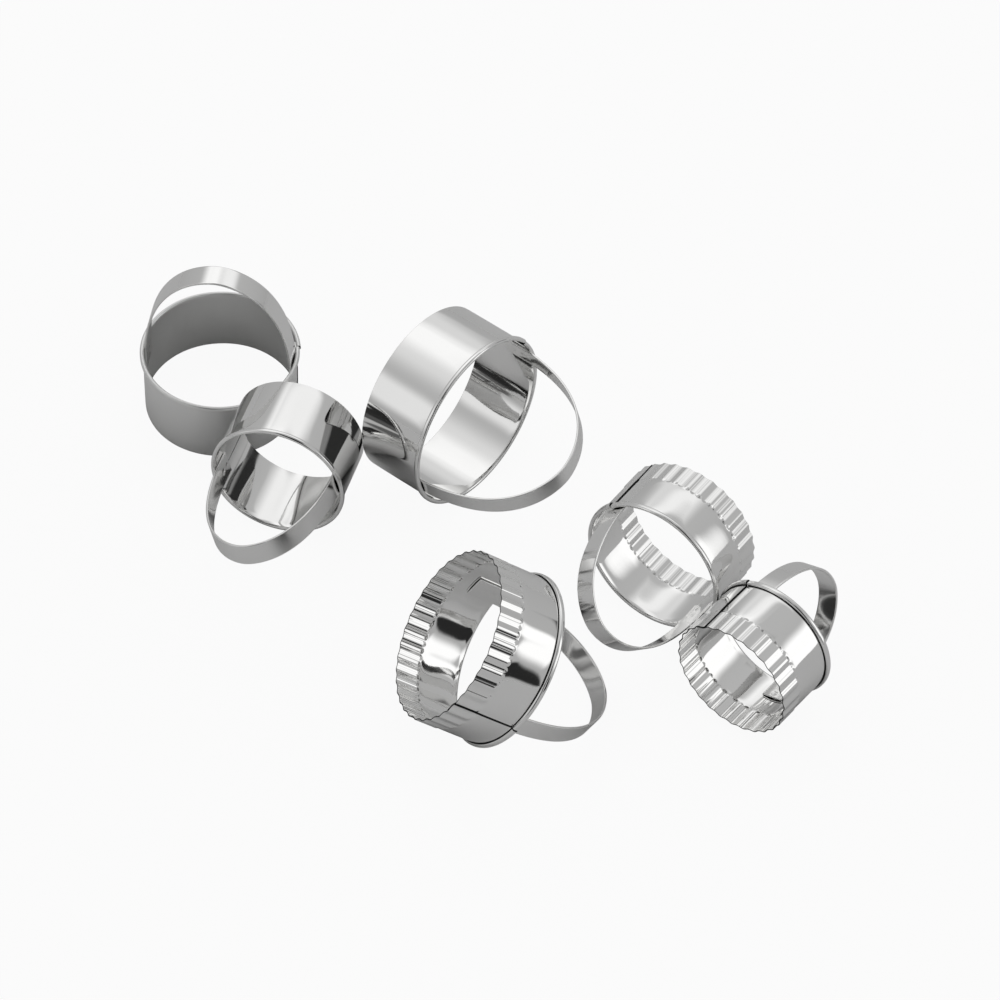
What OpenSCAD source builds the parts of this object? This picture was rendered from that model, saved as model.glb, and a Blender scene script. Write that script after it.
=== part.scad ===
// Set of six round pastry cutters in stainless steel: three plain, three fluted.
// Each cutter is a strip of sheet rolled into a ring and lapped at a seam, with
// a rolled bead round its rim and a strap handle spot-welded inside the rim.
// The cutting edge of each ring is at its z = 0, the rim and the handle above.

/* [Sheet and rim] */
// Thickness of the sheet that the rings are rolled from
sheet_t = 0.5; // [0.3:0.05:0.7]
// How far the rolled bead stands out from the ring
bead_proud = 1.5; // [1.1:0.1:2.5]
// Height of the rolled bead
bead_tall = 2.6; // [2.6:0.1:5]
// Slit between the end of the roll and the ring
roll_slit = 0.2; // [0.1:0.05:0.3]
// Width over which the two ends of the strip lap
lap_wide = 5; // [3:0.5:7]
// Gap between the two ends of the bead at the seam
bead_gap = 0.3; // [0.1:0.1:1]

/* [Plain cutters] */
// Outer diameter of the large plain ring
plain_large_d = 81; // [75:0.5:90]
// Outer diameter of the medium plain ring
plain_medium_d = 70; // [65:0.5:78]
// Outer diameter of the small plain ring
plain_small_d = 59.5; // [54:0.5:64]
// Height of the plain rings
plain_h = 34; // [28:0.5:40]
// Width of the straps on the plain cutters
plain_strap_wide = 11; // [8:0.5:14]
// Rise of the large plain handle above its rim
plain_large_rise = 50; // [44:1:60]
// Rise of the medium plain handle above its rim
plain_medium_rise = 49; // [42:1:58]
// Rise of the small plain handle above its rim
plain_small_rise = 46; // [38:1:54]

/* [Fluted cutters] */
// Outer diameter of the large fluted ring, between its flutes
fluted_large_d = 76.5; // [70:0.5:84]
// Outer diameter of the medium fluted ring, between its flutes
fluted_medium_d = 64.5; // [60:0.5:70]
// Outer diameter of the small fluted ring, between its flutes
fluted_small_d = 56; // [52:0.5:60]
// Height of the fluted rings
fluted_h = 33; // [28:0.5:40]
// Width of the straps on the fluted cutters
fluted_strap_wide = 10; // [8:0.5:12]
// Rise of the large fluted handle above its rim
fluted_large_rise = 48.5; // [42:0.5:58]
// Rise of the medium fluted handle above its rim
fluted_medium_rise = 44; // [38:1:52]
// Rise of the small fluted handle above its rim
fluted_small_rise = 38; // [32:1:46]

/* [Flutes] */
// Distance from one flute to the next round the ring
flute_pitch = 6.3; // [6:0.1:8]
// Length of the flutes from the cutting edge
flute_long = 12; // [6:0.5:16]
// How far the crests stand out from the ring
crest_out = 0.4; // [0.4:0.05:1.2]
// How far the valleys sink into the ring
valley_in = 0.3; // [0.3:0.05:0.8]
// Width of a crest or a valley at the face of the ring
flute_wide = 2.5; // [2:0.1:2.6]

/* [Straps] */
// Thickness of the straps
strap_t = 1; // [0.6:0.1:1.4]
// Length of the tabs of the large handles below the rim
large_tab = 15; // [12:0.5:18]
// Length of the tabs of the medium handles below the rim
medium_tab = 13.5; // [12:0.5:18]
// Length of the tabs of the small handles below the rim
small_tab = 12; // [12:0.5:18]
// Clearance between the edges of a tab and the ring
tab_clear = 0.02; // [0.01:0.01:0.1]
// Clearance between a spot weld and the ring
weld_clear = 0.02; // [0.01:0.01:0.1]
// Diameter of a spot weld
weld_d = 3; // [2:0.5:4]
// Depth of the upper spot weld below the rim
weld_down = 4.8; // [4.8:0.1:5.5]
// Distance between the two spot welds of a tab
weld_pitch = 4.6; // [4.2:0.1:5]

/* [Layout] */
// Place of the upright medium plain cutter, left to right
plain_medium_x = -122.3; // [-135:0.1:-115]
// Place of the upright medium plain cutter, front to back
plain_medium_y = 88.3; // [80:0.1:100]
// Place of the large fluted cutting edge, left to right
fluted_large_x = -11.2; // [-18:0.1:0]
// Place of the large fluted cutting edge, front to back
fluted_large_y = -85.4; // [-95:0.1:-80]
// Place of the medium fluted cutting edge, left to right
fluted_medium_x = 94.2; // [90:0.1:110]
// Place of the medium fluted cutting edge, front to back
fluted_medium_y = -1.7; // [-5:0.1:15]
// Gap between the medium and the small plain cutter
plain_gap = 0.5; // [0.4:0.1:3]
// Gap between the small and the large plain cutter
side_gap = 0.55; // [0.4:0.05:3]
// How far along the small plain ring the large one meets it
side_reach = 4.7; // [1:0.1:12]
// Gap between the medium and the small fluted cutter
fluted_gap = 0.85; // [0.6:0.05:3]
// How far along the small fluted ring the medium one meets it
fluted_reach = 27.3; // [20:0.1:28]

/* [Hidden] */
$fn = 128;

// How far a cutting shape runs past what it cuts
over = 1;

// Radius of the roll, of its round top and its round bottom
bead_r = (bead_proud + sheet_t) / 2;

// Directions that the axes of the lying cutters point in, from edge to rim
plain_small_heading = -105;
plain_large_heading = -37.9;
fluted_large_heading = 4.9;
fluted_medium_heading = -123;
fluted_small_heading = 53.2;

// Turn of each cutter about its own axis
plain_small_turn = 105.6;
plain_large_turn = 105.8;
plain_medium_turn = -7.1;
fluted_large_turn = 85.4;
fluted_medium_turn = 42.3;
fluted_small_turn = 160.4;

// Slopes of the two fluted cutters that lie against each other
fluted_medium_tilt_angle = 3.2;
fluted_small_tilt_angle = -1.2;

// Direction from the upright cutter to the small plain one
plain_contact_angle = -72.5;

// Angle of each seam from the first foot of its handle
plain_large_seam_angle = 21;
plain_medium_seam_angle = 14;
plain_small_seam_angle = 184;
fluted_large_seam_angle = 182;
fluted_medium_seam_angle = 184.5;
fluted_small_seam_angle = 15.7;

// Handle arch: how far its legs lean in, as shares of the radius, and how full
// its shoulders are, as shares of the rise and of the foot distance
lean_share = 0.08;
shoulder_share = 0.97;
crown_share = 0.09;
arch_steps = 28;

// Flutes: round surfaces that pass through the chord and the crest or valley
half_chord = flute_wide / 2;
crest_r = (half_chord * half_chord + crest_out * crest_out) / (2 * crest_out);
valley_r = (half_chord * half_chord + valley_in * valley_in) / (2 * valley_in);

function along(a) = [cos(a), sin(a)];
function across(a) = [-sin(a), cos(a)];
function flute_count(r) = round(2 * PI * r / flute_pitch);
function lap_angle(r) = lap_wide / r * 180 / PI;

// Distance of the outside of a tab from the axis
function tab_face(r, wide) =
  sqrt((r - sheet_t) * (r - sheet_t) - wide * wide / 4) - tab_clear;

// Radius at an angle past the seam, where the strip climbs onto its other end
function climb(r, a) =
  max(r, sheet_t * cos(a) + sqrt(r * r - sheet_t * sheet_t * sin(a) * sin(a)));
function outer_r(r, a) = a > 0 && a < 90 ? climb(r, a) : r;
function inner_r(r, a) = a > lap_angle(r) && a < 90 ? climb(r - sheet_t, a) : r - sheet_t;

// Slope of a ring that lies on its cutting edge and on its bead
function rest_tilt(r, h) =
  let (z = h - bead_tall + bead_r, c = bead_proud - bead_r)
  atan(c / z) + asin(bead_r / sqrt(z * z + c * c));

// Slope of a cutter that lies on its bead and on the crown of its handle: the
// outer edge of the arch is let down until its first point touches
function crown_tilt(r, wide, rise, turn) =
  -min([
    for (i = [1:arch_steps])
      let (
        p = arch_face(tab_face(r, wide) - strap_t / 2, r, rise, i / arch_steps, 1),
        out = r + bead_proud - bead_r - p[0] * abs(cos(turn)) - wide / 2 * abs(sin(turn)),
        up = p[1] + bead_r
      )
      atan(out / up) + asin(bead_r / sqrt(out * out + up * up))
  ]);

// Radius of a ring where it meets the surface, at the foot of a lying cutter
function foot_r(r, turn, seam) = outer_r(r, 360 - (turn + seam) % 360);

// Height of the middle of the cutting edge of a lying cutter
function lying_z(edge_r, r, h, tilt) =
  let (c = r + bead_proud - bead_r)
  max(
    edge_r * cos(tilt),
    c * cos(tilt) + bead_r - (h - bead_r) * sin(tilt),
    c * cos(tilt) + bead_r - (h - bead_tall + bead_r) * sin(tilt)
  );

// Radii of the rings
plain_large_r = plain_large_d / 2;
plain_medium_r = plain_medium_d / 2;
plain_small_r = plain_small_d / 2;
fluted_large_r = fluted_large_d / 2;
fluted_medium_r = fluted_medium_d / 2;
fluted_small_r = fluted_small_d / 2;

// Slopes of the cutters that lie on the surface
plain_large_tilt = rest_tilt(plain_large_r, plain_h);
plain_small_tilt = rest_tilt(plain_small_r, plain_h);
fluted_large_tilt = crown_tilt(
  fluted_large_r, fluted_strap_wide, fluted_large_rise, fluted_large_turn);

// Places of the cutting edges on the surface: each cutter that meets another is
// set off from it by the gap between the two
plain_medium_at = [plain_medium_x, plain_medium_y];
fluted_large_at = [fluted_large_x, fluted_large_y];
fluted_medium_at = [fluted_medium_x, fluted_medium_y];
plain_small_at =
  plain_medium_at + (plain_medium_r + bead_proud + plain_gap) * along(plain_contact_angle)
  + plain_small_r * across(plain_small_heading);
plain_large_at =
  plain_small_at + (plain_small_r + side_gap) * across(plain_small_heading)
  + side_reach * along(plain_small_heading)
  + plain_large_r * across(plain_large_heading);
fluted_small_at =
  fluted_medium_at + fluted_h * cos(fluted_medium_tilt_angle) * along(fluted_medium_heading)
  + (fluted_medium_r + bead_proud) * across(fluted_medium_heading)
  - fluted_reach * along(fluted_small_heading)
  - (fluted_small_r + fluted_gap) * across(fluted_small_heading);

// Lays a cutter down: its axis points along the heading, sloping up by the tilt
module lay(at, z, heading, tilt, turn) {
  translate([at[0], at[1], z])
    rotate([0, 90 - tilt, heading])
      rotate([0, 0, turn])
        children();
}

module place_plain_large() {
  foot = foot_r(plain_large_r, plain_large_turn, plain_large_seam_angle);
  z = lying_z(foot, foot, plain_h, plain_large_tilt);
  lay(plain_large_at, z, plain_large_heading, plain_large_tilt, plain_large_turn)
    children();
}

module place_plain_medium() {
  translate(plain_medium_at)
    rotate([0, 0, plain_medium_turn])
      children();
}

module place_plain_small() {
  foot = foot_r(plain_small_r, plain_small_turn, plain_small_seam_angle);
  z = lying_z(foot, foot, plain_h, plain_small_tilt);
  lay(plain_small_at, z, plain_small_heading, plain_small_tilt, plain_small_turn)
    children();
}

module place_fluted_large() {
  z = lying_z(fluted_large_r + crest_out, fluted_large_r, fluted_h, fluted_large_tilt);
  lay(fluted_large_at, z, fluted_large_heading, fluted_large_tilt, fluted_large_turn)
    children();
}

module place_fluted_medium() {
  z = lying_z(fluted_medium_r + crest_out, fluted_medium_r, fluted_h, fluted_medium_tilt_angle);
  lay(fluted_medium_at, z, fluted_medium_heading, fluted_medium_tilt_angle, fluted_medium_turn)
    children();
}

module place_fluted_small() {
  z = lying_z(fluted_small_r + crest_out, fluted_small_r, fluted_h, fluted_small_tilt_angle);
  lay(fluted_small_at, z, fluted_small_heading, fluted_small_tilt_angle, fluted_small_turn)
    children();
}

// Disc of the ring, in the frame of its seam: past the seam it climbs by the sheet
module climbing_disc(r, from) {
  circle(r);
  intersection() {
    translate([sheet_t, 0])
      circle(r);
    rotate(from)
      square(r + sheet_t + over);
  }
}

// Outline of the roll on top of the wall, standing on the end of the wall
module roll_outline(r, h) {
  middle = r + bead_proud - bead_r;
  difference() {
    union() {
      for (z = [h - bead_r, h - bead_tall + bead_r])
        translate([middle, z])
          circle(bead_r);
      translate([middle - bead_r, h - bead_tall + bead_r])
        square([2 * bead_r, bead_tall - 2 * bead_r]);
      translate([r - sheet_t, h - bead_tall])
        square([sheet_t, bead_tall - bead_r]);
    }
    for (z = [h - bead_r, h - bead_tall + bead_r])
      translate([middle, z])
        circle(bead_r - sheet_t);
    translate([middle - bead_r + sheet_t, h - bead_tall + bead_r])
      square([2 * (bead_r - sheet_t), bead_tall - 2 * bead_r]);
    translate([r, h - bead_tall - over])
      square([roll_slit, over + bead_r]);
  }
}

// Roll round the whole rim, in two parts that meet where the strip starts to climb
module roll(r, h) {
  reach = r + sheet_t + bead_proud + over;
  difference() {
    rotate_extrude()
      roll_outline(r, h);
    translate([sheet_t / 2, -bead_gap, h - bead_tall - over])
      cube([reach, reach + bead_gap, bead_tall + 2 * over]);
  }
  intersection() {
    translate([sheet_t, 0, 0])
      rotate_extrude()
        roll_outline(r, h);
    translate([sheet_t / 2, 0, h - bead_tall - over])
      cube([reach, reach, bead_tall + 2 * over]);
  }
}

// One flute: a round bar along the ring with a round end
module flute_bar(r, low) {
  translate([0, 0, -low])
    cylinder(r = r, h = flute_long - half_chord + low);
  translate([0, 0, flute_long - half_chord])
    sphere(r);
}

// Solid inside one face of the ring, with a crest and a valley to each pitch.
// side is 1 for the outer face, and 0 for the inner face, a sheet further in
module fluted_solid(r, h, side, low) {
  count = flute_count(r);
  step = 360 / count;
  inward = (1 - side) * sheet_t;
  difference() {
    union() {
      translate([0, 0, -low])
        linear_extrude(h + low)
          climbing_disc(r - inward, side == 1 ? 0 : lap_angle(r));
      for (i = [0:count - 1]) {
        a = (i + 0.75) * step;
        base = side == 1 ? outer_r(r, a) : inner_r(r, a);
        rotate(a)
          translate([base + inward + crest_out - crest_r, 0, 0])
            flute_bar(crest_r - inward, low);
      }
    }
    for (i = [0:count - 1]) {
      a = (i + 0.25) * step;
      base = side == 1 ? outer_r(r, a) : inner_r(r, a);
      rotate(a)
        translate([base + inward - valley_in + valley_r, 0, 0])
          flute_bar(valley_r + inward, low + over);
    }
  }
}

// Ring of a plain cutter, with its seam at the given angle
module plain_band(r, h, seam) {
  rotate([0, 0, seam]) {
    linear_extrude(h - bead_tall)
      difference() {
        climbing_disc(r, 0);
        climbing_disc(r - sheet_t, lap_angle(r));
      }
    roll(r, h);
  }
}

// Ring of a fluted cutter, with its seam at the given angle
module fluted_band(r, h, seam) {
  rotate([0, 0, seam]) {
    difference() {
      fluted_solid(r, h - bead_tall, 1, 0);
      fluted_solid(r, h - bead_tall + over, 0, over);
    }
    roll(r, h);
  }
}

// Middle line of one half of the arch, from its foot at the rim to the crown
function arch_point(foot, r, rise, s) =
  let (
    a = [foot, 0],
    b = [foot - lean_share * r, shoulder_share * rise],
    c = [crown_share * foot, rise],
    d = [0, rise],
    q = 1 - s
  )
  q * q * q * a + 3 * q * q * s * b + 3 * q * s * s * c + s * s * s * d;

// Point on a face of the arch: side is 1 for its outer face, -1 for its inner
function arch_face(foot, r, rise, s, side) =
  arch_point(foot, r, rise, s) + side * strap_t / 2 * arch_out(foot, r, rise, s);

// Direction of the outer face at a point of the arch
function arch_out(foot, r, rise, s) =
  let (
    a = [foot, 0],
    b = [foot - lean_share * r, shoulder_share * rise],
    c = [crown_share * foot, rise],
    d = [0, rise],
    q = 1 - s,
    v = q * q * (b - a) + 2 * q * s * (c - b) + s * s * (d - c)
  )
  s == 0 ? [1, 0] : [v[1], -v[0]] / norm(v);

// Strap bent into an arch, with a flat tab at each foot inside the rim
module strap(r, h, wide, rise, tab) {
  foot = tab_face(r, wide) - strap_t / 2;
  half_t = strap_t / 2;
  steps = [for (i = [0:arch_steps]) i / arch_steps];
  outer = [for (s = steps) arch_face(foot, r, rise, s, 1)];
  inner = [for (s = steps) arch_face(foot, r, rise, s, -1)];
  right = concat(
    [[foot - half_t, -tab], [foot + half_t, -tab]],
    outer
  );
  left = [for (i = [1:arch_steps]) [-outer[arch_steps - i][0], outer[arch_steps - i][1]]];
  left_in = [for (p = inner) [-p[0], p[1]]];
  right_in = [for (i = [1:arch_steps]) inner[arch_steps - i]];
  tab_left = [[-foot - half_t, -tab], [-foot + half_t, -tab]];
  translate([0, wide / 2, h])
    rotate([90, 0, 0])
      linear_extrude(wide)
        polygon(concat(right, left, tab_left, left_in, right_in));
}

// Spot welds of one tab, between its face and the ring
module welds(r, h, wide, side) {
  face = tab_face(r, wide);
  rotate([0, 0, 180 * side])
    intersection() {
      for (i = [0:1])
        translate([face, 0, h - weld_down - i * weld_pitch])
          rotate([0, 90, 0])
            cylinder(d = weld_d, h = over + weld_d);
      cylinder(r = r - sheet_t - weld_clear, h = h, $fn = 1440);
    }
}

module plain_large_band() {
  color("gainsboro")
    place_plain_large()
      plain_band(plain_large_r, plain_h, plain_large_seam_angle);
}

module plain_large_handle() {
  color("whitesmoke")
    place_plain_large()
      strap(plain_large_r, plain_h, plain_strap_wide, plain_large_rise, large_tab);
}

module plain_large_weld_a() {
  color("dimgray")
    place_plain_large()
      welds(plain_large_r, plain_h, plain_strap_wide, 0);
}

module plain_large_weld_b() {
  color("dimgray")
    place_plain_large()
      welds(plain_large_r, plain_h, plain_strap_wide, 1);
}

module plain_medium_band() {
  color("darkgray")
    place_plain_medium()
      plain_band(plain_medium_r, plain_h, plain_medium_seam_angle);
}

module plain_medium_handle() {
  color("lightgray")
    place_plain_medium()
      strap(plain_medium_r, plain_h, plain_strap_wide, plain_medium_rise, medium_tab);
}

module plain_medium_weld_a() {
  color("dimgray")
    place_plain_medium()
      welds(plain_medium_r, plain_h, plain_strap_wide, 0);
}

module plain_medium_weld_b() {
  color("dimgray")
    place_plain_medium()
      welds(plain_medium_r, plain_h, plain_strap_wide, 1);
}

module plain_small_band() {
  color("gainsboro")
    place_plain_small()
      plain_band(plain_small_r, plain_h, plain_small_seam_angle);
}

module plain_small_handle() {
  color("whitesmoke")
    place_plain_small()
      strap(plain_small_r, plain_h, plain_strap_wide, plain_small_rise, small_tab);
}

module plain_small_weld_a() {
  color("dimgray")
    place_plain_small()
      welds(plain_small_r, plain_h, plain_strap_wide, 0);
}

module plain_small_weld_b() {
  color("dimgray")
    place_plain_small()
      welds(plain_small_r, plain_h, plain_strap_wide, 1);
}

module fluted_large_band() {
  color("gainsboro")
    place_fluted_large()
      fluted_band(fluted_large_r, fluted_h, fluted_large_seam_angle);
}

module fluted_large_handle() {
  color("whitesmoke")
    place_fluted_large()
      strap(fluted_large_r, fluted_h, fluted_strap_wide, fluted_large_rise, large_tab);
}

module fluted_large_weld_a() {
  color("dimgray")
    place_fluted_large()
      welds(fluted_large_r, fluted_h, fluted_strap_wide, 0);
}

module fluted_large_weld_b() {
  color("dimgray")
    place_fluted_large()
      welds(fluted_large_r, fluted_h, fluted_strap_wide, 1);
}

module fluted_medium_band() {
  color("gainsboro")
    place_fluted_medium()
      fluted_band(fluted_medium_r, fluted_h, fluted_medium_seam_angle);
}

module fluted_medium_handle() {
  color("whitesmoke")
    place_fluted_medium()
      strap(fluted_medium_r, fluted_h, fluted_strap_wide, fluted_medium_rise, medium_tab);
}

module fluted_medium_weld_a() {
  color("dimgray")
    place_fluted_medium()
      welds(fluted_medium_r, fluted_h, fluted_strap_wide, 0);
}

module fluted_medium_weld_b() {
  color("dimgray")
    place_fluted_medium()
      welds(fluted_medium_r, fluted_h, fluted_strap_wide, 1);
}

// The lap of this ring runs the other way round
module fluted_small_band() {
  color("gainsboro")
    place_fluted_small()
      mirror([0, 1, 0])
        fluted_band(fluted_small_r, fluted_h, fluted_small_seam_angle);
}

module fluted_small_handle() {
  color("whitesmoke")
    place_fluted_small()
      strap(fluted_small_r, fluted_h, fluted_strap_wide, fluted_small_rise, small_tab);
}

module fluted_small_weld_a() {
  color("dimgray")
    place_fluted_small()
      welds(fluted_small_r, fluted_h, fluted_strap_wide, 0);
}

module fluted_small_weld_b() {
  color("dimgray")
    place_fluted_small()
      welds(fluted_small_r, fluted_h, fluted_strap_wide, 1);
}

plain_large_band();
plain_large_handle();
plain_large_weld_a();
plain_large_weld_b();
plain_medium_band();
plain_medium_handle();
plain_medium_weld_a();
plain_medium_weld_b();
plain_small_band();
plain_small_handle();
plain_small_weld_a();
plain_small_weld_b();
fluted_large_band();
fluted_large_handle();
fluted_large_weld_a();
fluted_large_weld_b();
fluted_medium_band();
fluted_medium_handle();
fluted_medium_weld_a();
fluted_medium_weld_b();
fluted_small_band();
fluted_small_handle();
fluted_small_weld_a();
fluted_small_weld_b();
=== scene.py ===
import math

import bmesh
import bpy
from mathutils import Matrix, Vector


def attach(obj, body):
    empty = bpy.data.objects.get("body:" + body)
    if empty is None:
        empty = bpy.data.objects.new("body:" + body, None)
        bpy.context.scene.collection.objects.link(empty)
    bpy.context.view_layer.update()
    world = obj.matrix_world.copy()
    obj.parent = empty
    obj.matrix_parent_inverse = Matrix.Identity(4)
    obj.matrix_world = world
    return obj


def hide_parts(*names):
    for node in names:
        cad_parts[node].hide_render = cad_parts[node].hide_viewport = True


bl_info = {
    "name": "Biscuit Cutter Set",
    "version": (1, 0, 0),
    "blender": (4, 5, 0),
    "location": "3D View > Sidebar > Cutters",
    "description": "Plain and fluted round biscuit cutters in bright steel",
    "category": "Object",
}

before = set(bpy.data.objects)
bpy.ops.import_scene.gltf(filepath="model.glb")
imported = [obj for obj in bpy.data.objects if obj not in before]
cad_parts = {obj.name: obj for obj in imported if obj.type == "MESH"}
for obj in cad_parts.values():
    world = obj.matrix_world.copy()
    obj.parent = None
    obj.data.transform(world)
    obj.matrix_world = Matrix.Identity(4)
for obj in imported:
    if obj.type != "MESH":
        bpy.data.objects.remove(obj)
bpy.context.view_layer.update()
MM = 0.001

# Each cutter: radius of its ring, rise and tab of its strap, turn of its seam,
# the side its lap runs to, and how it lies: heading, slope, turn, and the place
# of the middle of its cutting edge
CUTTERS = {
    "plain_large": dict(
        fluted=False, radius=40.5, rise=50.0, tab=15.0, seam=21.0, hand=1,
        heading=-37.9, slope=2.65258, turn=105.8, edge=(-29.5079, 64.8884, 40.4566),
    ),
    "plain_medium": dict(
        fluted=False, radius=35.0, rise=49.0, tab=13.5, seam=14.0, hand=1,
        heading=0.0, slope=90.0, turn=-7.1, edge=(-122.3, 88.3, 0.0),
    ),
    "plain_small": dict(
        fluted=False, radius=29.75, rise=46.0, tab=12.0, seam=184.0, hand=1,
        heading=-105.0, slope=2.65258, turn=105.6, edge=(-82.4376, 45.3126, 29.8819),
    ),
    "fluted_large": dict(
        fluted=True, radius=38.25, rise=48.5, tab=15.0, seam=182.0, hand=1,
        heading=4.9, slope=-34.9154, turn=85.4, edge=(-11.2, -85.4, 51.0906),
    ),
    "fluted_medium": dict(
        fluted=True, radius=32.25, rise=44.0, tab=13.5, seam=184.5, hand=1,
        heading=-123.0, slope=3.2, turn=42.3, edge=(94.2, -1.7, 32.5991),
    ),
    "fluted_small": dict(
        fluted=True, radius=28.0, rise=38.0, tab=12.0, seam=15.7, hand=-1,
        heading=53.2, slope=-1.2, turn=160.4, edge=(111.308, -86.8563, 30.1639),
    ),
}

# Shares of the arch of a strap: how far its legs lean in, and how full it is
LEAN_SHARE = 0.08
SHOULDER_SHARE = 0.97
CROWN_SHARE = 0.09

# Rows of points: of a swelling wall and of the end of a flute, in shares of each
WALL_ROWS = (0.02, 0.06, 0.12, 0.22, 0.36, 0.5, 0.64, 0.78, 0.88, 0.94, 0.98)
FLUTE_ROWS = (0.0, 0.2, 0.36, 0.5, 0.6, 0.7, 0.8, 0.9, 1.0)

# Columns of points: of a crest or valley in shares of half its width, of a whole plain
# ring, and of the end of the strip under the seam
FLUTE_COLUMNS = (-1.0, -0.86, -0.7, -0.5, -0.26, 0.0, 0.26, 0.5, 0.7, 0.86, 1.0)
PLAIN_COLUMNS = 288
LAP_COLUMNS = 12

# Steps of a strap: along a tab, along half its arch, across it and round its edges
TAB_STEPS = 30
ARCH_STEPS = 48
ACROSS_STEPS = 26
EDGE_STEPS = 5

# Middle of a valley and of a crest, in shares of the flutes' pitch
VALLEY_AT = 0.25
CREST_AT = 0.75

# Small lengths in millimetres: the easing of the cutting edge, the lowest row of a
# fluted wall, the rows just before a flute's end and just under the bead, and how far
# the lap starts before the seam
EASE = 0.12
LOW_ROW = 5.0
FLUTE_END = 0.4
UNDER_BEAD = 0.05
LAP_START = 0.3

# How sharply a wall's swell ends
SWELL_POWER = 6.0

# In degrees round the ring: how far the seam gapes, and how clear of the seam the last
# column of a flute stays
GAPE_REACH = 4.0
SEAM_CLEAR = 0.05

# Shares of a strap's width and thickness at its blunt ends, and of a weld in its dent
BLUNT_WIDE = 0.96
BLUNT_THICK = 0.45
DENT_SPREAD = 0.55

# Steel: shares of the fine grain in the polish and of the clouds in the colour, and how
# dark a cloud is
FINE_SHARE = 0.7
CLOUD_SHARE = 0.6
CLOUD_TINT = 0.94

# Angles over which an edge stays sharp, in degrees
RING_SHARP = 40.0
STRAP_SHARP = 50.0

# The point the camera looks at, in millimetres, and the floor's radius in metres
LOOK_AT = (8.49, 34.41, 0.0)
FLOOR_RADIUS = 6.0

WHITE = (1.0, 1.0, 1.0, 1.0)

# The room as the cutters mirror it: softboxes and dark flags, each with its azimuth,
# elevation and roll in degrees, half width, half height, softness and light
ROOM = (
    (-41, 62, 0, 0.42, 0.12, 1.0, 0.72),
    (-17, 45, -28, 0.35, 0.23, 1.0, 1.0),
    (16, 44, 10, 0.33, 0.09, 1.0, 0.9),
    (-3, 27, 0, 0.19, 0.20, 0.9, 0.7),
    (90, 15, 11, 0.13, 0.35, 0.7, 1.08),
    (102, 20, 8, 0.23, 0.11, 0.8, 1.06),
    (-109, 23, 2, 0.13, 0.24, 0.85, 0.78),
    (-173, 33, -8, 0.26, 0.62, 0.3, 0.025),
    (-139, 46, -28, 0.30, 0.07, 0.4, 0.02),
    (158, 57, 17, 0.13, 0.32, 0.45, 0.08),
    (134, 10, 25, 0.13, 0.15, 0.4, 0.02),
    (147, 26, 0, 0.12, 0.13, 0.6, 0.10),
    (163, 33, -21, 0.05, 0.17, 0.5, 1.0),
    (-122, 78, -8, 0.14, 0.10, 0.6, 0.1),
    (63, 9, -5, 0.09, 0.15, 0.6, 0.07),
    (112, 70, 3, 0.34, 0.15, 0.7, 0.21),
)


class RingSizes(bpy.types.PropertyGroup):
    """Sizes of the rolled rings"""

    sheet: bpy.props.FloatProperty(
        name="Sheet", description="Thickness of the sheet, in millimetres",
        default=0.5, min=0.3, max=0.7,
    )
    plain_height: bpy.props.FloatProperty(
        name="Plain Height", description="Height of the plain rings, in millimetres",
        default=34.0, min=28.0, max=40.0,
    )
    fluted_height: bpy.props.FloatProperty(
        name="Fluted Height", description="Height of the fluted rings, in millimetres",
        default=33.0, min=28.0, max=40.0,
    )
    bead_out: bpy.props.FloatProperty(
        name="Bead", description="How far the bead stands out, in millimetres",
        default=1.5, min=1.1, max=2.5,
    )
    bead_tall: bpy.props.FloatProperty(
        name="Bead Height", description="Height of the bead, in millimetres",
        default=2.6, min=2.6, max=5.0,
    )
    slit: bpy.props.FloatProperty(
        name="Slit", description="Slit between roll and ring, in millimetres",
        default=0.2, min=0.1, max=0.3,
    )
    bead_gap: bpy.props.FloatProperty(
        name="Bead Gap", description="Gap in the bead at the seam, in millimetres",
        default=0.3, min=0.1, max=1.0,
    )
    lap: bpy.props.FloatProperty(
        name="Lap", description="Width of the lap at the seam, in millimetres",
        default=5.0, min=3.0, max=7.0,
    )
    pitch: bpy.props.FloatProperty(
        name="Flute Pitch", description="Distance between flutes, in millimetres",
        default=6.3, min=6.0, max=8.0,
    )
    flute_long: bpy.props.FloatProperty(
        name="Flute Length", description="Length of the flutes, in millimetres",
        default=12.0, min=6.0, max=16.0,
    )
    flute_wide: bpy.props.FloatProperty(
        name="Flute Width", description="Width of a crest or valley, in millimetres",
        default=3.1, min=2.0, max=3.1,
    )
    crest: bpy.props.FloatProperty(
        name="Crest", description="How far the crests stand out, in millimetres",
        default=0.4, min=0.4, max=1.2,
    )
    valley: bpy.props.FloatProperty(
        name="Valley", description="How far the valleys sink in, in millimetres",
        default=0.3, min=0.3, max=0.8,
    )
    plain_belly: bpy.props.FloatProperty(
        name="Plain Belly",
        description="Swell of a plain wall at its middle, in millimetres",
        default=0.08, min=0.0, max=0.4,
    )
    fluted_belly: bpy.props.FloatProperty(
        name="Fluted Belly",
        description="Swell of the wall above the flutes, in millimetres",
        default=0.12, min=0.0, max=0.4,
    )
    # The first column along the seam takes the near-black edge steel: a painted shade line
    # standing in for the shadow in the seam's gap.
    seam_shade: bpy.props.FloatProperty(
        name="Seam Shade Line",
        description="Width of the sheared steel along the seam, in millimetres",
        default=0.14, min=0.05, max=0.6,
    )
    gape: bpy.props.FloatProperty(
        name="Seam Gape",
        description="How much wider the seam is at the cutting edge, in millimetres",
        default=0.25, min=0.0, max=1.0,
    )


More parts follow.
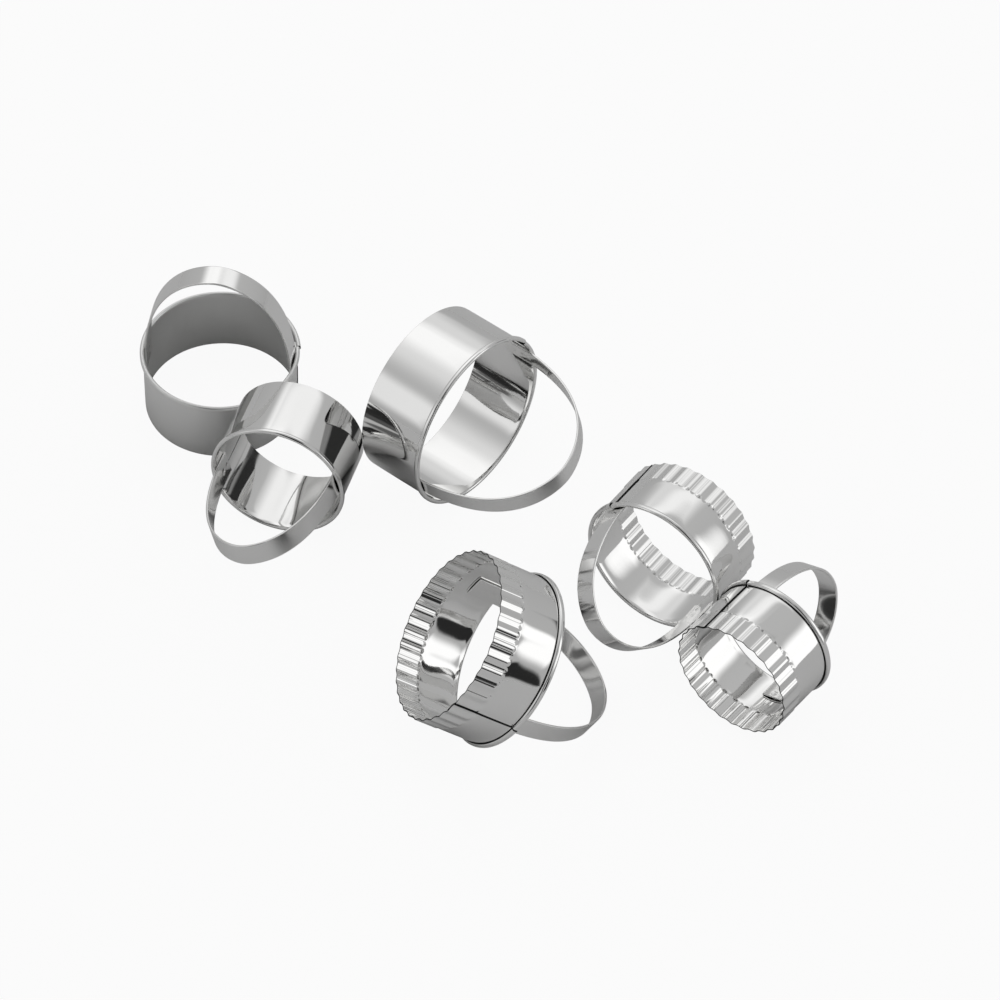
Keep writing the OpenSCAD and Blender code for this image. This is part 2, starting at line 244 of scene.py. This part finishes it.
class StrapSizes(bpy.types.PropertyGroup):
    """Sizes of the strap handles"""

    thick: bpy.props.FloatProperty(
        name="Thickness", description="Thickness of the straps, in millimetres",
        default=1.0, min=0.6, max=1.4,
    )
    plain_wide: bpy.props.FloatProperty(
        name="Plain Width", description="Width of the plain straps, in millimetres",
        default=11.0, min=8.0, max=14.0,
    )
    fluted_wide: bpy.props.FloatProperty(
        name="Fluted Width", description="Width of the fluted straps, in millimetres",
        default=10.0, min=8.0, max=12.0,
    )
    clearance: bpy.props.FloatProperty(
        name="Clearance", description="Clearance of a tab in its ring, in millimetres",
        default=0.02, min=0.01, max=0.1,
    )
    rounding: bpy.props.FloatProperty(
        name="Edge Rounding", description="Rounding of the strap's edges, in millimetres",
        default=0.3, min=0.05, max=0.45,
    )
    weld_wide: bpy.props.FloatProperty(
        name="Weld", description="Diameter of a spot weld, in millimetres",
        default=3.0, min=2.0, max=4.0,
    )
    weld_down: bpy.props.FloatProperty(
        name="Weld Depth", description="Upper weld below the rim, in millimetres",
        default=4.8, min=4.8, max=5.5,
    )
    weld_pitch: bpy.props.FloatProperty(
        name="Weld Pitch", description="Distance between two welds, in millimetres",
        default=4.6, min=4.2, max=5.0,
    )
    dent: bpy.props.FloatProperty(
        name="Weld Dent", description="Depth of the dent of a weld, in millimetres",
        default=0.12, min=0.0, max=0.3,
    )


class SteelFinish(bpy.types.PropertyGroup):
    """Colours and polish of the steel"""

    bright: bpy.props.FloatVectorProperty(
        name="Bright Steel", description="Colour of the polished steel",
        default=(0.955, 0.953, 0.945), subtype="COLOR", min=0.0, max=1.0,
    )
    satin: bpy.props.FloatVectorProperty(
        name="Satin Steel", description="Colour of the satin steel",
        default=(0.97, 0.97, 0.96), subtype="COLOR", min=0.0, max=1.0,
    )
    # The sheared edges are real, but their near-black colour is painted shade: the shadow in the
    # seam's gap, in the slit under the bead and at the strap ends.
    sheared: bpy.props.FloatVectorProperty(
        name="Shaded Steel", description="Colour of the sheared edges",
        default=(0.04, 0.04, 0.04), subtype="COLOR", min=0.0, max=1.0,
    )
    burnt: bpy.props.FloatVectorProperty(
        name="Burnt Steel", description="Colour of the spot welds",
        default=(0.32, 0.31, 0.30), subtype="COLOR", min=0.0, max=1.0,
    )
    polish: bpy.props.FloatProperty(
        name="Polish", description="Roughness of the polished steel",
        default=0.05, min=0.0, max=1.0, subtype="FACTOR",
    )
    haze: bpy.props.FloatProperty(
        name="Haze", description="Roughness of the satin steel",
        default=0.33, min=0.0, max=1.0, subtype="FACTOR",
    )


class StageLook(bpy.types.PropertyGroup):
    """Camera, light and table"""

    distance: bpy.props.FloatProperty(
        name="Camera Distance", description="Distance of the camera",
        default=1.95, unit="LENGTH", min=0.3, max=10.0,
    )
    elevation: bpy.props.FloatProperty(
        name="Elevation", description="Height angle of the camera",
        default=math.radians(49.76), subtype="ANGLE", min=0.0, max=1.5,
    )
    roll: bpy.props.FloatProperty(
        name="Roll", description="Tilt of the picture",
        default=math.radians(2.5), subtype="ANGLE", min=-1.5, max=1.5,
    )
    lens: bpy.props.FloatProperty(
        name="Lens", description="Focal length, in millimetres",
        default=154.48, min=20.0, max=400.0,
    )
    walls: bpy.props.FloatProperty(
        name="Wall Light", description="Light of the room's walls",
        default=0.39, min=0.0, max=2.0,
    )
    ceiling: bpy.props.FloatProperty(
        name="Ceiling Light", description="Light of the room's ceiling",
        default=0.48, min=0.0, max=2.0,
    )
    table: bpy.props.FloatProperty(
        name="Table", description="How much light the table gives back",
        default=0.9, min=0.0, max=1.0, subtype="FACTOR",
    )
    # The table's colour darkens near the cutters by painted shade: nook gives its reach, depth
    # its strength.
    nook: bpy.props.FloatProperty(
        name="Nook Reach", description="How far from the cutters the table darkens",
        default=0.035, unit="LENGTH", min=0.01, max=1.0,
    )
    depth: bpy.props.FloatProperty(
        name="Nook Shade", description="How much the nooks between the cutters darken",
        default=0.7, min=0.0, max=4.0,
    )
    whiteness: bpy.props.FloatProperty(
        name="Table White", description="How white the camera sees the table",
        default=0.94, min=0.0, max=1.0, subtype="FACTOR",
    )


class Value:
    """A socket in a node tree, with the usual sums on it."""

    def __init__(self, graph, socket):
        self.graph = graph
        self.socket = socket

    def sum(self, operation, *terms):
        return self.graph.node("ShaderNodeMath", {"operation": operation}, dict(enumerate(terms)))

    def __add__(self, other):
        return self.sum("ADD", self, other)

    def __radd__(self, other):
        return self.sum("ADD", other, self)

    def __sub__(self, other):
        return self.sum("SUBTRACT", self, other)

    def __rsub__(self, other):
        return self.sum("SUBTRACT", other, self)

    def __mul__(self, other):
        return self.sum("MULTIPLY", self, other)

    def __rmul__(self, other):
        return self.sum("MULTIPLY", other, self)

    def __truediv__(self, other):
        return self.sum("DIVIDE", self, other)

    def __rtruediv__(self, other):
        return self.sum("DIVIDE", other, self)

    def __pow__(self, other):
        return self.sum("POWER", self, other)

    def __lt__(self, other):
        return self.sum("LESS_THAN", self, other)

    def __gt__(self, other):
        return self.sum("GREATER_THAN", self, other)

    def at_least(self, other):
        return self.sum("MAXIMUM", self, other)

    def at_most(self, other):
        return self.sum("MINIMUM", self, other)

    def root(self):
        return self.sum("SQRT", self)

    def sin(self):
        return self.sum("SINE", self)

    def cos(self):
        return self.sum("COSINE", self)

    def fract(self):
        return self.sum("FRACT", self)

    def size(self):
        return self.sum("ABSOLUTE", self)


class Graph:
    """Builds a node tree: one method makes every node, sets it up and joins it."""

    def __init__(self, tree):
        self.tree = tree

    def node(self, kind, settings=None, sockets=None, out=0):
        made = self.tree.nodes.new(kind)
        for name, setting in (settings or {}).items():
            setattr(made, name, setting)
        for key, value in (sockets or {}).items():
            if isinstance(value, Value):
                self.tree.links.new(value.socket, made.inputs[key])
            else:
                made.inputs[key].default_value = value
        return Value(self, made.outputs[out]) if made.outputs else made

    def split(self, vector):
        parts = self.node("ShaderNodeSeparateXYZ", None, {0: vector})
        return [Value(self, socket) for socket in parts.socket.node.outputs]

    def dot(self, vector, other):
        return self.node(
            "ShaderNodeVectorMath", {"operation": "DOT_PRODUCT"}, {0: vector, 1: other}, out=1,
        )

    def join(self, x, y, z):
        return self.node("ShaderNodeCombineXYZ", None, {0: x, 1: y, 2: z})


def place_matrix(cutter):
    """Where a cutter lies, from its own frame in millimetres to the set's in metres."""
    lying = Matrix.Rotation(math.radians(90.0 - cutter["slope"]), 4, "Y")
    return (
        Matrix.Scale(MM, 4)
        @ Matrix.Translation(Vector(cutter["edge"]))
        @ Matrix.Rotation(math.radians(cutter["heading"]), 4, "Z")
        @ lying
        @ Matrix.Rotation(math.radians(cutter["turn"]), 4, "Z")
    )


def arc(middle, radius, start, end, steps):
    """Points of an arc in an outline, in degrees, both ends kept."""
    turns = [math.radians(start + (end - start) * i / steps) for i in range(steps + 1)]
    return [(middle[0] + radius * math.cos(a), middle[1] + radius * math.sin(a)) for a in turns]


def wall_heights(sizes, height, fluted):
    """Heights of the rows of a wall, closer together at its ends and those of the flutes."""
    top = height - sizes.bead_tall
    half = sizes.flute_wide / 2
    foot = sizes.flute_long if fluted else 0.0
    rows = [EASE]
    if fluted:
        rows += [LOW_ROW, foot - half - FLUTE_END]
        rows += [foot - half + half * share for share in FLUTE_ROWS]
    rows += [foot + (top - foot) * share for share in WALL_ROWS]
    return rows + [top - UNDER_BEAD]


def ring_turns(sizes, flutes, per_mm, last):
    """Turns of the columns of a ring, in degrees: its painted seam shade line, then even ones,
    or those that its flutes need and that keep clear of both ends."""
    seam_shade = sizes.seam_shade * per_mm
    if not flutes:
        return [0.0, seam_shade] + [last * (i + 1) / PLAIN_COLUMNS for i in range(PLAIN_COLUMNS)]
    pitch = 360.0 / flutes
    half = sizes.flute_wide / 2 * per_mm
    turns = [
        pitch * (k + centre) + half * share
        for k in range(flutes) for centre in (VALLEY_AT, CREST_AT) for share in FLUTE_COLUMNS
    ]
    return [0.0, seam_shade] + [a for a in turns if 2.0 * seam_shade < a < last - SEAM_CLEAR] + [last]


def sheet_outline(sizes, height, fluted):
    """Section of the rolled sheet: across the sheet from the outer face, and up. Also
    the places in it of the lip of the roll and the hollow behind it, which are painted
    near black as the shade in the slit under the bead."""
    t = sizes.sheet
    bead_r = (sizes.bead_out + t) / 2
    hollow = bead_r - t
    middle = sizes.bead_out - bead_r
    low = height - sizes.bead_tall + bead_r
    high = height - bead_r
    walls = wall_heights(sizes, height, fluted)
    lip = math.degrees(math.acos((sizes.slit - middle) / bead_r))
    lip_in = math.degrees(math.acos((sizes.slit - middle) / hollow))
    inner = [(-t, z) for z in walls]
    outer = [(0.0, z) for z in reversed(walls)]
    skin = (
        [(-t + EASE, 0.0)]
        + inner
        + arc((middle, high), bead_r, 180, 0, 18)
        + arc((middle, low), bead_r, 0, -lip, 12)
    )
    inside = arc((middle, low), hollow, -lip_in, 0, 6) + arc((middle, high), hollow, 0, 180, 8)
    lip_places = range(len(skin) - 3, len(skin) + len(inside))
    return skin + inside + outer + [(-EASE, 0.0)], lip_places


def flap_outline(sizes, height, fluted):
    """Section of the end of the strip that lies under the seam, a hair thinner than
    the sheet."""
    thin = 0.01
    t = sizes.sheet
    walls = wall_heights(sizes, height, fluted)
    return (
        [(-t + EASE, thin)]
        + [(-t + thin, z) for z in walls]
        + [(-thin, z) for z in reversed(walls)]
        + [(-EASE, thin)]
    )


def add_strip(mesh, outline, turns, gape=0.0, shaded_to=-1.0, lip=()):
    """A closed strip: the outline at each turn, and a cap at each end. Its last columns
    draw back at the cutting edge by gape, and its first one is as much wider there.
    The cutting edge, the lip, the caps and the columns up to the given turn are sheared
    steel painted near black: painted shade of the seam's gap and the slit under the bead."""
    high = max(up for out, up in outline)
    start, end = turns[0], turns[-1]

    def drawn(a, up):
        near = max(0.0, 1.0 - (end - a) / GAPE_REACH)
        if start < a <= shaded_to:
            near = -1.0
        return a - gape * (1.0 - up / high) * near

    rows = [[mesh.verts.new((drawn(a, up), out, up)) for out, up in outline] for a in turns]
    count = len(outline)
    for a, here, there in zip(turns[1:], rows, rows[1:]):
        for i in range(count):
            j = (i + 1) % count
            face = mesh.faces.new((here[i], here[j], there[j], there[i]))
            if a <= shaded_to or i in (0, count - 2, count - 1) or i in lip:
                face.material_index = 1
    for row in (rows[0], rows[-1]):
        mesh.faces.new(row).material_index = 1


def roll_tree(fluted):
    """Nodes that roll a flat strip into a ring and press its flutes."""
    label = "Fluted ring" if fluted else "Plain ring"
    tree = bpy.data.node_groups.new(label, "GeometryNodeTree")
    for way in ("INPUT", "OUTPUT"):
        tree.interface.new_socket("Geometry", in_out=way, socket_type="NodeSocketGeometry")
    floats = ["Radius", "Sheet", "Seam", "Hand", "Foot", "Top", "Belly"]
    if fluted:
        floats += ["Flutes", "Flute Length", "Flute Width", "Crest", "Valley"]
    for name in floats:
        tree.interface.new_socket(name, in_out="INPUT", socket_type="NodeSocketFloat")
    for name in ("Steel", "Sheared Edge"):
        tree.interface.new_socket(name, in_out="INPUT", socket_type="NodeSocketMaterial")
    graph = Graph(tree)
    start = graph.node("NodeGroupInput").socket.node
    given = {socket.name: Value(graph, socket) for socket in start.outputs if socket.name}
    turn, out, up = graph.split(graph.node("GeometryNodeInputPosition"))
    radian = turn * (math.pi / 180.0)
    climb = given["Sheet"] * radian.cos() * (turn < 90.0)
    share = (up - given["Foot"]) / (given["Top"] - given["Foot"]) * 2.0 - 1.0
    reach = given["Radius"] + out + climb
    reach = reach + given["Belly"] * (1.0 - share ** SWELL_POWER).at_least(0.0)
    if fluted:
        half = given["Flute Width"] / 2.0
        arc_mm = 2.0 * math.pi * given["Radius"] / given["Flutes"]
        along = (turn * given["Flutes"] / 360.0).fract()
        past = (up - (given["Flute Length"] - half)).at_least(0.0)
        for centre, depth, sign in ((CREST_AT, "Crest", 1.0), (VALLEY_AT, "Valley", -1.0)):
            off = (along - centre) * arc_mm
            near = (off * off + past * past).root() / half
            reach = reach + sign * given[depth] * (near.at_most(1.0) * (math.pi / 2)).cos()
    where = radian * given["Hand"] + given["Seam"] * (math.pi / 180.0)
    rolled = graph.join(reach * where.cos(), reach * where.sin(), up)
    set_place = graph.node(
        "GeometryNodeSetPosition", None, {"Geometry": given["Geometry"], "Position": rolled}
    )
    whole = graph.node("GeometryNodeRealizeInstances", None, {"Geometry": set_place})
    index = graph.node("GeometryNodeInputMaterialIndex")
    # Faces of index 1 take the near-black edge steel, which is painted shade
    for number, finish in ((1, "Sheared Edge"), (0, "Steel")):
        chosen = graph.node(
            "FunctionNodeCompare", {"data_type": "INT", "operation": "EQUAL"},
            {2: index, 3: number},
        )
        whole = graph.node(
            "GeometryNodeSetMaterial", None,
            {"Geometry": whole, "Selection": chosen, "Material": given[finish]},
        )
    graph.node("NodeGroupOutput", None, {0: whole})
    return tree


def apply_tree(piece, tree, values):
    """Runs a node tree on a piece and keeps the result as its mesh."""
    modifier = piece.modifiers.new("Form", "NODES")
    modifier.node_group = tree
    for item in tree.interface.items_tree:
        if item.in_out == "INPUT" and item.name in values:
            modifier[item.identifier] = values[item.name]
    bpy.context.view_layer.update()
    shown = piece.evaluated_get(bpy.context.evaluated_depsgraph_get())
    mesh = bpy.data.meshes.new_from_object(shown)
    piece.modifiers.clear()
    piece.data = mesh
    return mesh


def mesh_from(form, name):
    """Turns an edited form into a mesh."""
    mesh = bpy.data.meshes.new(name)
    form.to_mesh(mesh)
    form.free()
    return mesh


def finish_mesh(mesh, matrix, sharp):
    """Puts a mesh in its place, turns its faces outwards and smooths it."""
    mesh.transform(matrix)
    form = bmesh.new()
    form.from_mesh(mesh)
    bmesh.ops.recalc_face_normals(form, faces=form.faces)
    form.to_mesh(mesh)
    form.free()
    mesh.shade_smooth()
    mesh.set_sharp_from_angle(angle=math.radians(sharp))


def new_piece(name, mesh):
    """Adds a mesh to the scene as an object."""
    piece = bpy.data.objects.new(name, mesh)
    bpy.context.scene.collection.objects.link(piece)
    return piece


def new_material(name):
    """A material with an empty node tree, and the graph that fills it."""
    material = bpy.data.materials.new(name)
    material.use_nodes = True
    tree = material.node_tree
    tree.nodes.clear()
    return material, Graph(tree)


def steel_material(name, colour, roughness, spread, wave, grain, metal=1.0):
    """Steel: its colour and polish vary in clouds by spread, and its sheet is a little
    wavy and grainy."""
    material, graph = new_material(name)
    place = graph.node("ShaderNodeTexCoord", out=3)
    clouds = graph.node(
        "ShaderNodeTexNoise", None,
        {"Vector": place, "Scale": 38.0, "Detail": 3.0, "Roughness": 0.55},
    )
    fine = graph.node(
        "ShaderNodeTexNoise", None,
        {"Vector": place, "Scale": 900.0, "Detail": 2.0, "Roughness": 0.6},
    )
    swell = graph.node(
        "ShaderNodeTexNoise", None, {"Vector": place, "Scale": 26.0, "Detail": 1.0},
    )
    rough = roughness + (clouds - 0.5) * spread + (fine - 0.5) * spread * FINE_SHARE
    height = (swell - 0.5) * wave + (fine - 0.5) * grain
    bump = graph.node(
        "ShaderNodeBump", None, {"Strength": 1.0, "Distance": MM, "Height": height},
    )
    tint = graph.node(
        "ShaderNodeMix", {"data_type": "RGBA"},
        {"Factor": (clouds * CLOUD_SHARE).at_most(1.0),
         "A": (*colour, 1.0), "B": (*[part * CLOUD_TINT for part in colour], 1.0)},
        out=2,
    )
    shader = graph.node(
        "ShaderNodeBsdfPrincipled", None,
        {"Base Color": tint, "Metallic": metal, "Roughness": rough, "Normal": bump},
    )
    graph.node("ShaderNodeOutputMaterial", None, {"Surface": shader})
    return material


def table_material(look):
    """Pale table: white where the camera sees it in the open, with its shadows, and
    grey where the steel mirrors it, darkened by painted shade from ambient occlusion
    in the nooks between the cutters."""
    material, graph = new_material("Pale table")
    ray = graph.node("ShaderNodeLightPath")
    # Ambient occlusion darkens the table's colour near the cutters: painted shade in the nooks,
    # on top of their real shadows.
    bare = graph.node(
        "ShaderNodeAmbientOcclusion", {"samples": 6}, {"Distance": look.nook}, out=1,
    )
    matt = graph.node(
        "ShaderNodeBsdfDiffuse", None, {"Color": bare ** look.depth * look.table},
    )
    glow = graph.node("ShaderNodeEmission", None, {"Color": WHITE, "Strength": 1.0})
    seen = graph.node(
        "ShaderNodeMixShader", None, {0: ray * look.whiteness, 1: matt, 2: glow},
    )
    graph.node("ShaderNodeOutputMaterial", None, {"Surface": seen})
    return material


def studio_world(look):
    """Soft studio light: a grey room with softboxes and dark flags in it. The camera
    sees it white."""
    world = bpy.data.worlds.new("Studio")
    world.use_nodes = True
    world.node_tree.nodes.clear()
    graph = Graph(world.node_tree)
    way = graph.node("ShaderNodeTexCoord")
    up = graph.split(way)[2]
    light = look.walls + (look.ceiling - look.walls) * up.at_least(0.0)
    for azimuth, elevation, roll, wide, high, soft, level in ROOM:
        a, e, r = (math.radians(x) for x in (azimuth, elevation, roll))
        centre = Vector((math.sin(a) * math.cos(e), math.cos(a) * math.cos(e), math.sin(e)))
        level_axis = Vector((math.cos(a), -math.sin(a), 0.0))
        upright = level_axis.cross(centre)
        across = level_axis * math.cos(r) + upright * math.sin(r)
        along = upright * math.cos(r) - level_axis * math.sin(r)
        x = graph.dot(way, across).size() / wide
        y = graph.dot(way, along).size() / high
        panel = graph.node(
            "ShaderNodeMapRange", {"interpolation_type": "SMOOTHSTEP"},
            {"Value": x.at_least(y), "From Min": 1.0 + soft / 2, "From Max": 1.0 - soft / 2,
             "To Min": 0.0, "To Max": 1.0},
        )
        light = light + (level - light) * panel * (graph.dot(way, centre) > 0.0)
    seen = graph.node("ShaderNodeLightPath")
    sky = graph.node(
        "ShaderNodeBackground", None,
        {"Color": WHITE, "Strength": light + (1.0 - light) * seen},
    )
    graph.node("ShaderNodeOutputWorld", None, {"Surface": sky})
    return world


MATERIALS = {}


def steel(kind):
    """The finish of a piece by its kind, made once. Each row gives a material's name,
    colour, roughness, spread, wave and grain, and how metallic it is if not wholly."""
    if kind not in MATERIALS:
        look = bpy.context.scene.cutter_steel
        name, colour, *grades = {
            "bright": ("Polished steel", look.bright, look.polish, 0.03, 0.05, 0.002),
            "strap": ("Bright strip", look.bright, look.polish + 0.04, 0.04, 0.10, 0.002),
            "satin": ("Satin steel", look.satin, look.haze, 0.08, 0.0, 0.02, 0.75),
            # Sheared edges in near black: painted shade for the seam's gap, the slit under the
            # bead and the strap ends
            "edge": ("Sheared edge", look.sheared, 0.45, 0.1, 0.0, 0.03),
            "weld": ("Spot weld", look.burnt, 0.5, 0.15, 0.0, 0.05),
        }[kind]
        MATERIALS[kind] = steel_material(name, tuple(colour), *grades)
    return MATERIALS[kind]


class CUTTERS_OT_rings(bpy.types.Operator):
    """Rolls the rings of the cutters, with their beads, flutes and seams"""

    bl_idname = "cutters.rings"
    bl_label = "Roll Rings"

    def execute(self, context):
        sizes = context.scene.cutter_rings
        trees = {fluted: roll_tree(fluted) for fluted in (False, True)}
        for name, cutter in CUTTERS.items():
            fluted = cutter["fluted"]
            radius = cutter["radius"]
            height = sizes.fluted_height if fluted else sizes.plain_height
            flutes = round(2 * math.pi * radius / sizes.pitch) if fluted else 0
            mesh = self.flat_sheet(name + "_ring", sizes, height, radius, flutes)
            piece = new_piece(name + "_ring", mesh)
            finish = "satin" if name == "plain_medium" else "bright"
            mesh.materials.append(steel(finish))
            mesh.materials.append(steel("edge"))
            values = {
                "Radius": radius, "Sheet": sizes.sheet, "Seam": cutter["seam"] * cutter["hand"],
                "Hand": float(cutter["hand"]), "Flutes": float(flutes),
                "Flute Length": sizes.flute_long, "Flute Width": sizes.flute_wide,
                "Crest": sizes.crest, "Valley": sizes.valley,
                "Foot": sizes.flute_long if fluted else 0.0, "Top": height - sizes.bead_tall,
                "Belly": sizes.fluted_belly if fluted else sizes.plain_belly,
                "Steel": steel(finish), "Sheared Edge": steel("edge"),
            }
            mesh = apply_tree(piece, trees[fluted], values)
            finish_mesh(mesh, place_matrix(cutter), RING_SHARP)
            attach(piece, name)
            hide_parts(name + "_band")
        return {"FINISHED"}

    def flat_sheet(self, name, sizes, height, radius, flutes):
        """The sheet of a ring before it is rolled, and its end that lies under the
        seam. Its points give a turn in degrees, how far out, and how far up."""
        per_mm = 180.0 / (math.pi * radius)
        last = 360.0 - sizes.bead_gap * per_mm
        under = last - (sizes.gape + LAP_START) * per_mm
        lap = sizes.lap * per_mm
        fluted = flutes > 0
        form = bmesh.new()
        outline, lip = sheet_outline(sizes, height, fluted)
        # The ring's first column, as wide as the seam shade line, is painted dark as the seam's
        # shadow.
        add_strip(
            form, outline, ring_turns(sizes, flutes, per_mm, last),
            gape=sizes.gape * per_mm, shaded_to=sizes.seam_shade * per_mm, lip=lip,
        )
        # The flap's end seen in the seam's gap is painted dark as shade.
        add_strip(
            form, flap_outline(sizes, height, fluted),
            [under, 360.0] + [360.0 + lap * (i + 1) / LAP_COLUMNS for i in range(LAP_COLUMNS)],
            shaded_to=360.0,
        )
        return mesh_from(form, name)


def arch_frame(foot, lean, rise, tab, q):
    """Middle line and outward direction of a strap: q is 0 at the crown, 1 at the rim
    and 2 at the end of the tab."""
    if q >= 1.0:
        return foot, -(q - 1.0) * tab, 1.0, 0.0
    a, b = (foot, 0.0), (foot - lean, SHOULDER_SHARE * rise)
    c, d = (CROWN_SHARE * foot, rise), (0.0, rise)
    u = 1.0 - q
    point = [
        q ** 3 * a[k] + 3 * q * q * u * b[k] + 3 * q * u * u * c[k] + u ** 3 * d[k]
        for k in (0, 1)
    ]
    way = [
        q * q * (b[k] - a[k]) + 2 * q * u * (c[k] - b[k]) + u * u * (d[k] - c[k])
        for k in (0, 1)
    ]
    long = math.hypot(*way)
    return point[0], point[1], way[1] / long, -way[0] / long


class CUTTERS_OT_straps(bpy.types.Operator):
    """Bends the strap handles, with their rounded edges and weld dents"""

    bl_idname = "cutters.straps"
    bl_label = "Bend Straps"

    def execute(self, context):
        rings = context.scene.cutter_rings
        sizes = context.scene.cutter_straps
        for name, cutter in CUTTERS.items():
            fluted = cutter["fluted"]
            height = rings.fluted_height if fluted else rings.plain_height
            wide = sizes.fluted_wide if fluted else sizes.plain_wide
            inside = cutter["radius"] - rings.sheet
            mesh = self.bent_strip(name + "_strap", sizes, cutter, inside, height, wide)
            mesh.materials.append(steel("strap"))
            mesh.materials.append(steel("edge"))
            finish_mesh(mesh, place_matrix(cutter), STRAP_SHARP)
            piece = new_piece(name + "_strap", mesh)
            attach(piece, name)
            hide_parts(name + "_handle")
        return {"FINISHED"}

    def bent_strip(self, name, sizes, cutter, inside, height, wide):
        """The strip of a strap, bent into an arch with a tab at each end."""
        half_t = sizes.thick / 2
        foot = math.sqrt(inside ** 2 - wide ** 2 / 4) - sizes.clearance - half_t
        lean = LEAN_SHARE * cutter["radius"]
        tab = cutter["tab"]
        section = self.section(wide, half_t, sizes.rounding)
        form = bmesh.new()
        rows = []
        for s in self.steps(2.0 - sizes.rounding / tab):
            side = -1.0 if s < 0 else 1.0
            x, z, nx, nz = arch_frame(foot, lean, cutter["rise"], tab, abs(s))
            row = []
            for across, out in section:
                if abs(s) == 2.0:
                    across, out = across * BLUNT_WIDE, out * BLUNT_THICK
                elif out < 0:
                    out += self.dent(sizes, abs(s), tab, across)
                row.append(form.verts.new(
                    (side * (x + nx * out), across, height + z + nz * out)
                ))
            rows.append(row)
        count = len(section)
        for here, there in zip(rows, rows[1:]):
            for i in range(count):
                j = (i + 1) % count
                form.faces.new((here[i], here[j], there[j], there[i]))
        # The blunt ends of the strap take the near-black edge steel: painted shade.
        for row in (rows[0], rows[-1]):
            form.faces.new(row).material_index = 1
        return mesh_from(form, name)

    def steps(self, blunt):
        """Places along a strap, from -2 at one end over 0 at the crown to 2 at the
        other, with one more where each blunt end starts."""
        steps = [-2.0, -blunt]
        steps += [-2.0 + i / TAB_STEPS for i in range(1, TAB_STEPS)]
        steps += [-1.0 + i / ARCH_STEPS for i in range(2 * ARCH_STEPS + 1)]
        steps += [1.0 + i / TAB_STEPS for i in range(1, TAB_STEPS)]
        return steps + [blunt, 2.0]

    def section(self, wide, half_t, rounding):
        """Section of the strap, with rounded edges: across it and out from its middle."""
        w, r = wide / 2 - rounding, rounding
        t = half_t - r
        across = [-w + 2 * w * i / ACROSS_STEPS for i in range(ACROSS_STEPS + 1)]
        points = [(a, half_t) for a in across]
        points += arc((w, t), r, 90, 0, EDGE_STEPS)[1:]
        points += arc((w, -t), r, 0, -90, EDGE_STEPS)
        points += [(a, -half_t) for a in reversed(across[:-1])]
        points += arc((-w, -t), r, -90, -180, EDGE_STEPS)[1:]
        points += arc((-w, t), r, 180, 90, EDGE_STEPS)[:-1]
        return points

    def dent(self, sizes, q, tab, across):
        """How far the inner face of a tab is pressed out by its two welds."""
        if q <= 1.0:
            return 0.0
        down = (q - 1.0) * tab
        deep = 0.0
        for i in (0, 1):
            off = math.hypot(across, down - sizes.weld_down - i * sizes.weld_pitch)
            near = min(off / (sizes.weld_wide * DENT_SPREAD), 1.0)
            deep += sizes.dent * (1.0 - near * near) ** 2
        return deep


class CUTTERS_OT_welds(bpy.types.Operator):
    """Gives the spot welds their burnt steel"""

    bl_idname = "cutters.welds"
    bl_label = "Dress Welds"

    def execute(self, context):
        for name in CUTTERS:
            for end in ("_weld_a", "_weld_b"):
                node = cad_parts[name + end]
                for place in node.material_slots:
                    place.material = steel("weld")
        return {"FINISHED"}


class CUTTERS_OT_stage(bpy.types.Operator):
    """Sets the floor, the studio light and the camera"""

    bl_idname = "cutters.stage"
    bl_label = "Set Stage"

    def execute(self, context):
        scene = context.scene
        look = scene.cutter_stage
        target = Vector(LOOK_AT) * MM
        camera = bpy.data.cameras.new("Camera")
        camera.lens = look.lens
        camera.sensor_width = 36.0
        camera.clip_start = 0.01
        camera.clip_end = 50.0
        eye = bpy.data.objects.new("Camera", camera)
        scene.collection.objects.link(eye)
        up = look.elevation
        back = Vector((0.0, -math.cos(up), math.sin(up)))
        eye.location = target + back * look.distance
        turn = back.to_track_quat("Z", "Y").to_matrix().to_4x4()
        eye.matrix_world = (
            Matrix.Translation(eye.location) @ turn @ Matrix.Rotation(look.roll, 4, "Z")
        )
        scene.camera = eye

        floor = bmesh.new()
        bmesh.ops.create_circle(floor, cap_ends=True, segments=96, radius=FLOOR_RADIUS)
        mesh = mesh_from(floor, "Floor")
        ground = new_piece("Floor", mesh)
        mesh.materials.append(table_material(look))
        scene.world = studio_world(look)
        scene.view_settings.view_transform = "Standard"
        return {"FINISHED"}


class CUTTERS_PT_panel(bpy.types.Panel):
    """Sizes, finishes and steps of the cutter set"""

    bl_idname = "CUTTERS_PT_panel"
    bl_label = "Biscuit Cutters"
    bl_space_type = "VIEW_3D"
    bl_region_type = "UI"
    bl_category = "Cutters"

    def draw(self, context):
        for name, kind in GROUPS.items():
            group = getattr(context.scene, name)
            box = self.layout.box()
            for key in kind.__annotations__:
                box.prop(group, key)
        for step in STEPS:
            self.layout.operator(step.bl_idname)


GROUPS = {
    "cutter_rings": RingSizes,
    "cutter_straps": StrapSizes,
    "cutter_steel": SteelFinish,
    "cutter_stage": StageLook,
}
STEPS = (CUTTERS_OT_stage, CUTTERS_OT_rings, CUTTERS_OT_straps, CUTTERS_OT_welds)


def register():
    for kind in (*GROUPS.values(), *STEPS, CUTTERS_PT_panel):
        bpy.utils.register_class(kind)
    for name, kind in GROUPS.items():
        setattr(bpy.types.Scene, name, bpy.props.PointerProperty(type=kind))


def unregister():
    for name in GROUPS:
        delattr(bpy.types.Scene, name)
    for kind in reversed((*GROUPS.values(), *STEPS, CUTTERS_PT_panel)):
        bpy.utils.unregister_class(kind)


def main():
    register()
    bpy.ops.cutters.stage()
    bpy.ops.cutters.rings()
    bpy.ops.cutters.straps()
    bpy.ops.cutters.welds()


if __name__ == "__main__":
    main()
